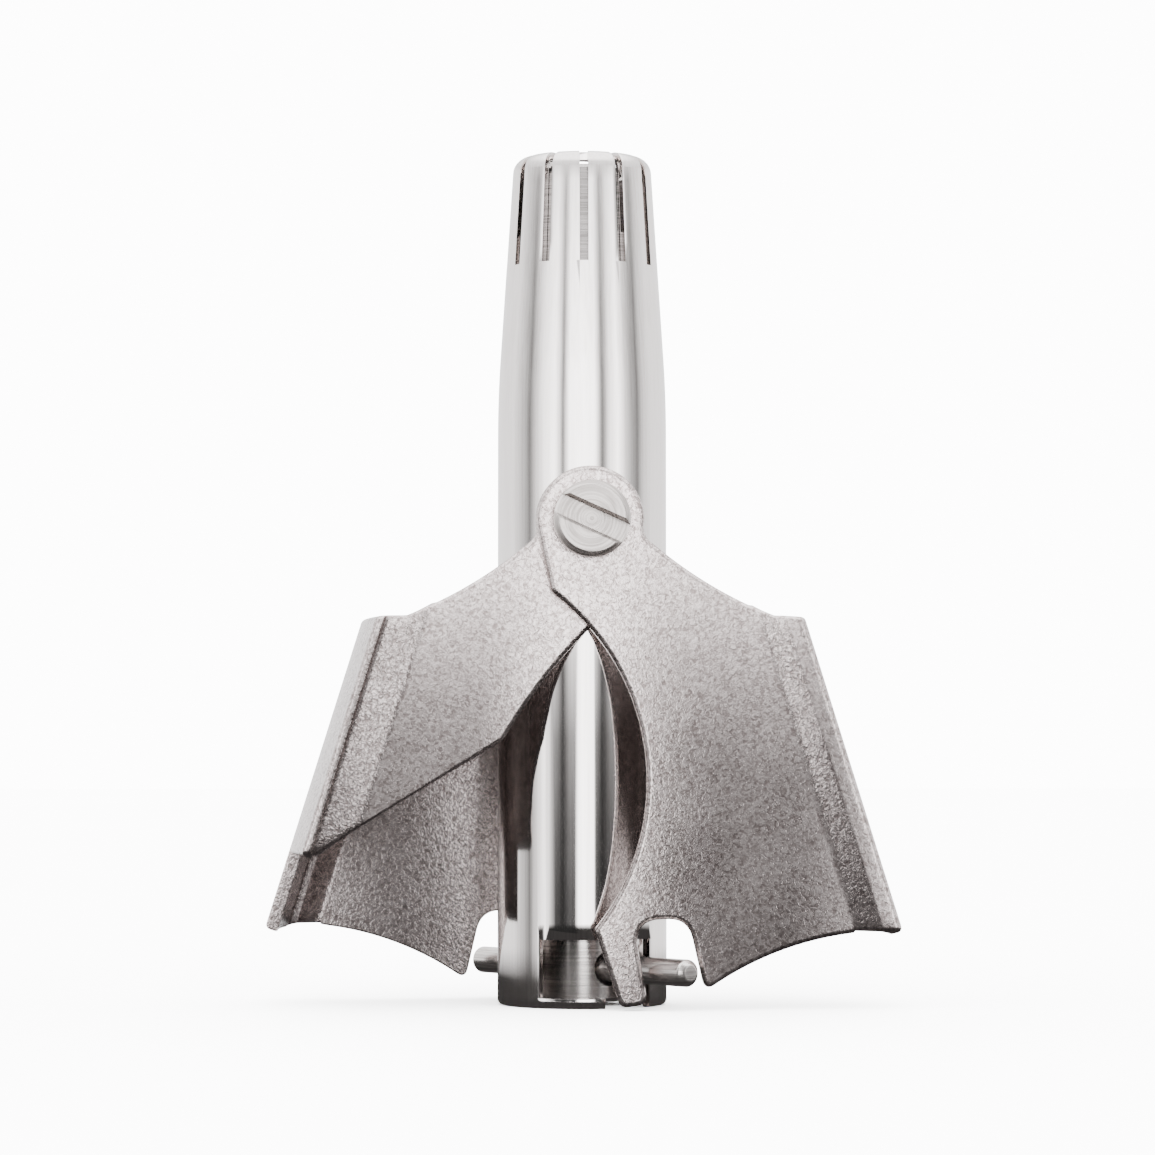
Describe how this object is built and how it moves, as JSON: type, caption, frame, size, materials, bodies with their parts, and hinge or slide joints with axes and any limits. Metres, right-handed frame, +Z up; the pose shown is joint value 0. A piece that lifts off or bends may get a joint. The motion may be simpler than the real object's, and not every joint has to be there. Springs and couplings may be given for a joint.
{
  "type": "manual nose hair trimmer",
  "caption": "Squeeze-action nose hair trimmer: folded steel levers on a slotted barrel turn a rotary cutter through a cross pin, and a coil spring turns it back.",
  "frame": {"origin": "on the barrel's axis, in the plane of its base", "axes": "+Z up the barrel's axis towards the cutting head, Y along the lever pivots with the front pivot at -Y, X across the two levers"},
  "size_m": [0.0486, 0.0216, 0.0653],
  "materials": {
    "polished_steel": "polished stainless steel",
    "lever_steel": "tumbled satin stainless steel with a fine pebbled grain",
    "screw_steel": "turned satin stainless steel",
    "rotor_steel": "turned and ground stainless steel",
    "cutter_steel": "ground hardened stainless steel",
    "spring_steel": "drawn spring wire"
  },
  "bodies": {
    "barrel_body": {"barrel": "polished_steel", "pivot_bush": "rotor_steel", "front_pivot_screw": "screw_steel", "rear_pivot_screw": "screw_steel", "front_washer": "screw_steel", "rear_washer": "screw_steel", "return_spring": "spring_steel"},
    "right_lever_body": {"right_lever": "lever_steel"},
    "left_lever_body": {"left_lever": "lever_steel"},
    "rotor_body": {"rotor_shaft": "rotor_steel", "cutter_hub": "rotor_steel", "hub_dowel": "rotor_steel", "cutter": "cutter_steel", "cross_pin": "rotor_steel"}
  },
  "joints": [
    {"name": "right_lever_squeeze", "type": "hinge", "parent": "barrel_body", "child": "right_lever_body", "pos_m": [0, 0, 0.0368], "axis": [0, 1, 0], "range_deg": [0, 15.6], "stiffness_Nm_per_rad": 0.1, "springref_deg": -17.19},
    {"name": "left_lever_squeeze", "type": "hinge", "parent": "barrel_body", "child": "left_lever_body", "pos_m": [0, 0, 0.0368], "axis": [0, -1, 0], "range_deg": [0, 15.6]},
    {"name": "rotor_turn", "type": "hinge", "parent": "barrel_body", "child": "rotor_body", "pos_m": [0, 0, 0.0029], "axis": [0, 0, -1], "range_deg": [0, 57], "deforming": ["return_spring"]}
  ],
  "couplings": [
    {"joint": "left_lever_squeeze", "follows": "right_lever_squeeze", "ratio": 1},
    {"joint": "rotor_turn", "follows": "right_lever_squeeze", "ratio": 3.6538}
  ]
}
